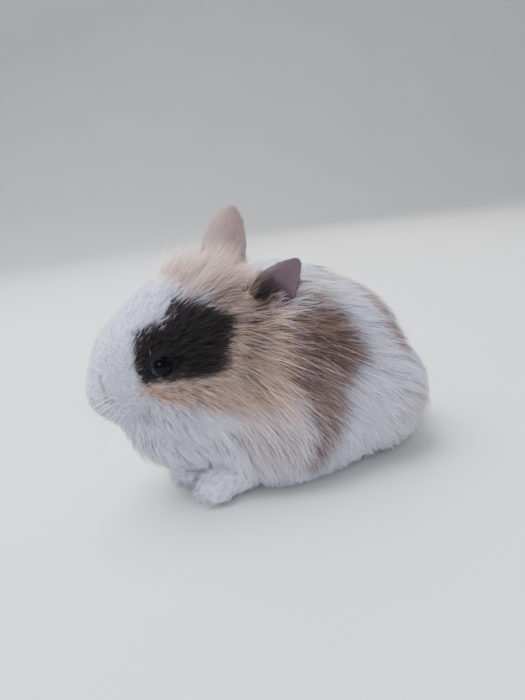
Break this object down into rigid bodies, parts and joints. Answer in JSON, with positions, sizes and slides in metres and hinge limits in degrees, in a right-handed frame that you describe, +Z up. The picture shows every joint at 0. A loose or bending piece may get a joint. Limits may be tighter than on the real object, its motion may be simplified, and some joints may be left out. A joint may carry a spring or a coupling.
{
  "type": "dwarf rabbit",
  "caption": "Still, life-size model of a young dwarf rabbit with a fluffy coat, crouched with its head turned and one ear laid back.",
  "frame": {"origin": "on the floor under the middle of the rabbit's outline seen from above", "axes": "+X towards the rump, +Y to the rabbit's own right, +Z up"},
  "size_m": [0.1774, 0.09, 0.122],
  "materials": {
    "coat": "long soft fur, white with fawn and dark brown patches",
    "ear_skin": "thin skin with short velvety fur",
    "eye": "wet and glossy, nearly black"
  },
  "bodies": {
    "root": {"head": "coat", "ear_left": "ear_skin", "ear_right": "ear_skin", "eye_left": "eye", "eye_right": "eye", "neck": "coat", "torso": "coat", "foreleg_left": "coat", "foreleg_right": "coat", "hindleg_left": "coat", "hindleg_right": "coat", "tail": "coat"}
  },
  "joints": []
}
